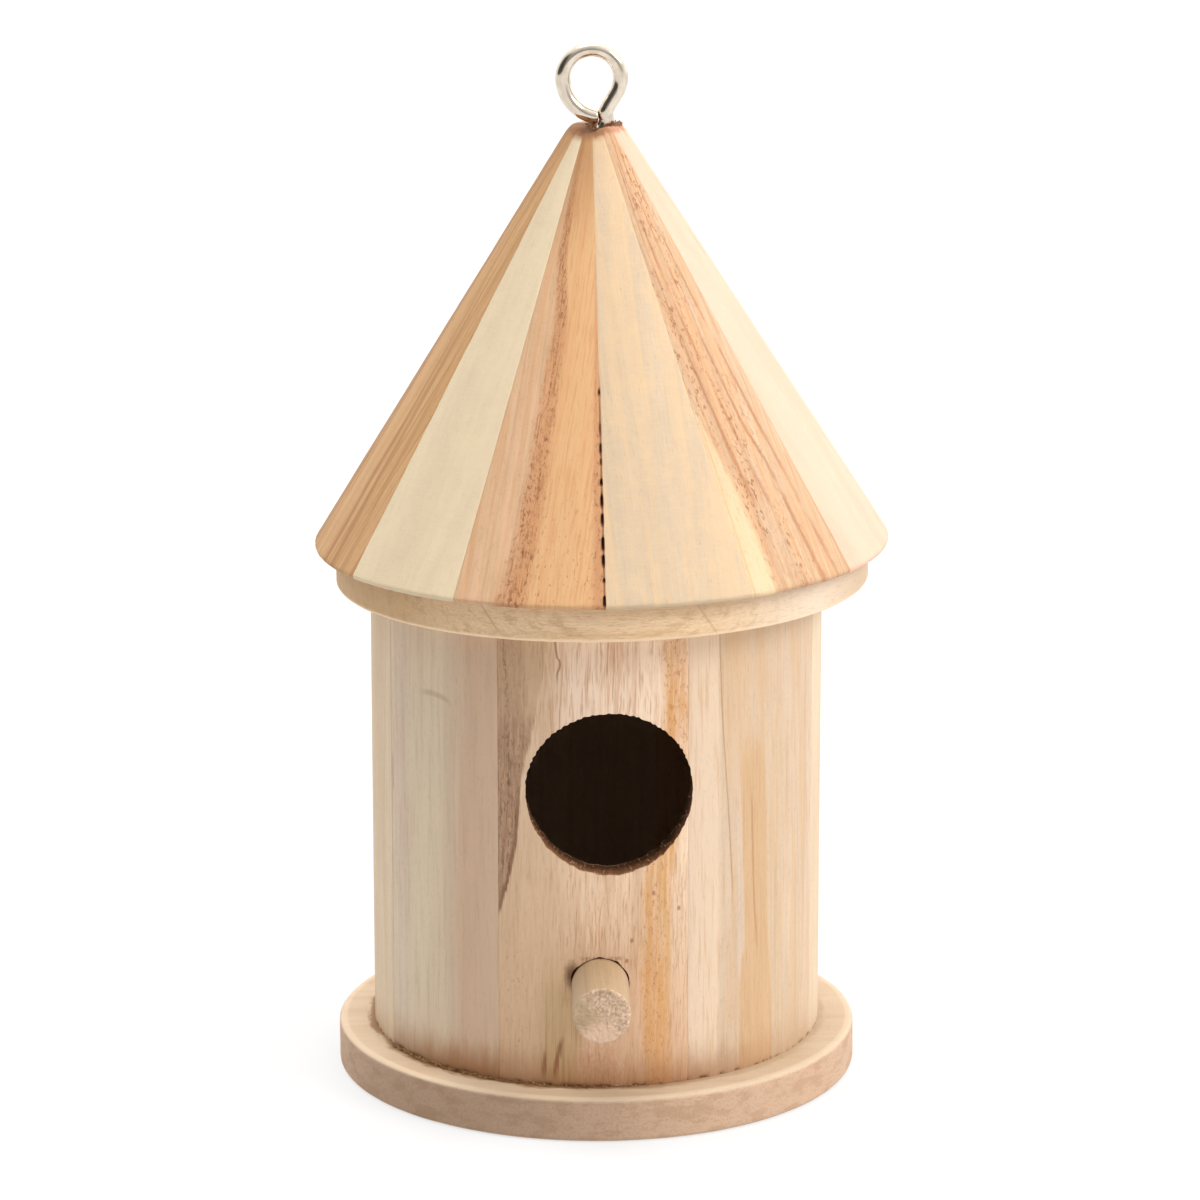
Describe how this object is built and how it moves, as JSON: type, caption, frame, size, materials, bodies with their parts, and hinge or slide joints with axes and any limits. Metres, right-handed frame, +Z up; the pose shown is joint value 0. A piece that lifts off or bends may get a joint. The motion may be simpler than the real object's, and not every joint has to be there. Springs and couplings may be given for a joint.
{
  "type": "birdhouse",
  "caption": "Round wooden birdhouse: coopered tube wall with a round entrance and dowel perch, base disc, striped cone roof and a screw eye at the tip for hanging.",
  "frame": {"origin": "centre of the base disc's underside, where the house rests", "axes": "+Z up through the tip of the roof, -Y out of the front, where the entrance and the perch are, +X to the right seen from the front"},
  "size_m": [0.0966, 0.1015, 0.1763],
  "materials": {
    "disc_wood": "raw sanded",
    "wall_wood_pale": "raw sanded",
    "wall_wood_brown": "raw sanded",
    "roof_wood_pale": "raw sanded",
    "roof_wood_brown": "raw sanded",
    "dowel_wood": "raw",
    "plated_steel": "bright nickel plate"
  },
  "bodies": {
    "house": {"base_disc": "disc_wood", "wall_stave_1": "wall_wood_pale", "wall_stave_2": "wall_wood_brown", "wall_stave_3": "wall_wood_pale", "wall_stave_4": "wall_wood_pale", "wall_stave_5": "wall_wood_brown", "wall_stave_6": "wall_wood_pale", "wall_stave_7": "wall_wood_brown", "wall_stave_8": "wall_wood_pale", "eave_disc": "disc_wood", "roof_wedge_01": "roof_wood_pale", "roof_wedge_02": "roof_wood_brown", "roof_wedge_03": "roof_wood_pale", "roof_wedge_04": "roof_wood_brown", "roof_wedge_05": "roof_wood_pale", "roof_wedge_06": "roof_wood_brown", "roof_wedge_07": "roof_wood_pale", "roof_wedge_08": "roof_wood_brown", "roof_wedge_09": "roof_wood_pale", "roof_wedge_10": "roof_wood_brown", "roof_wedge_11": "roof_wood_pale", "roof_wedge_12": "roof_wood_brown", "perch_dowel": "dowel_wood"},
    "eye": {"screw_eye": "plated_steel"}
  },
  "joints": [
    {"name": "screw_eye_turn", "type": "hinge", "parent": "house", "child": "eye", "pos_m": [0.001, 0.0011, 0.155], "axis": [-0.0122, 0.0157, 0.9998], "range_deg": [-90, 90]}
  ]
}
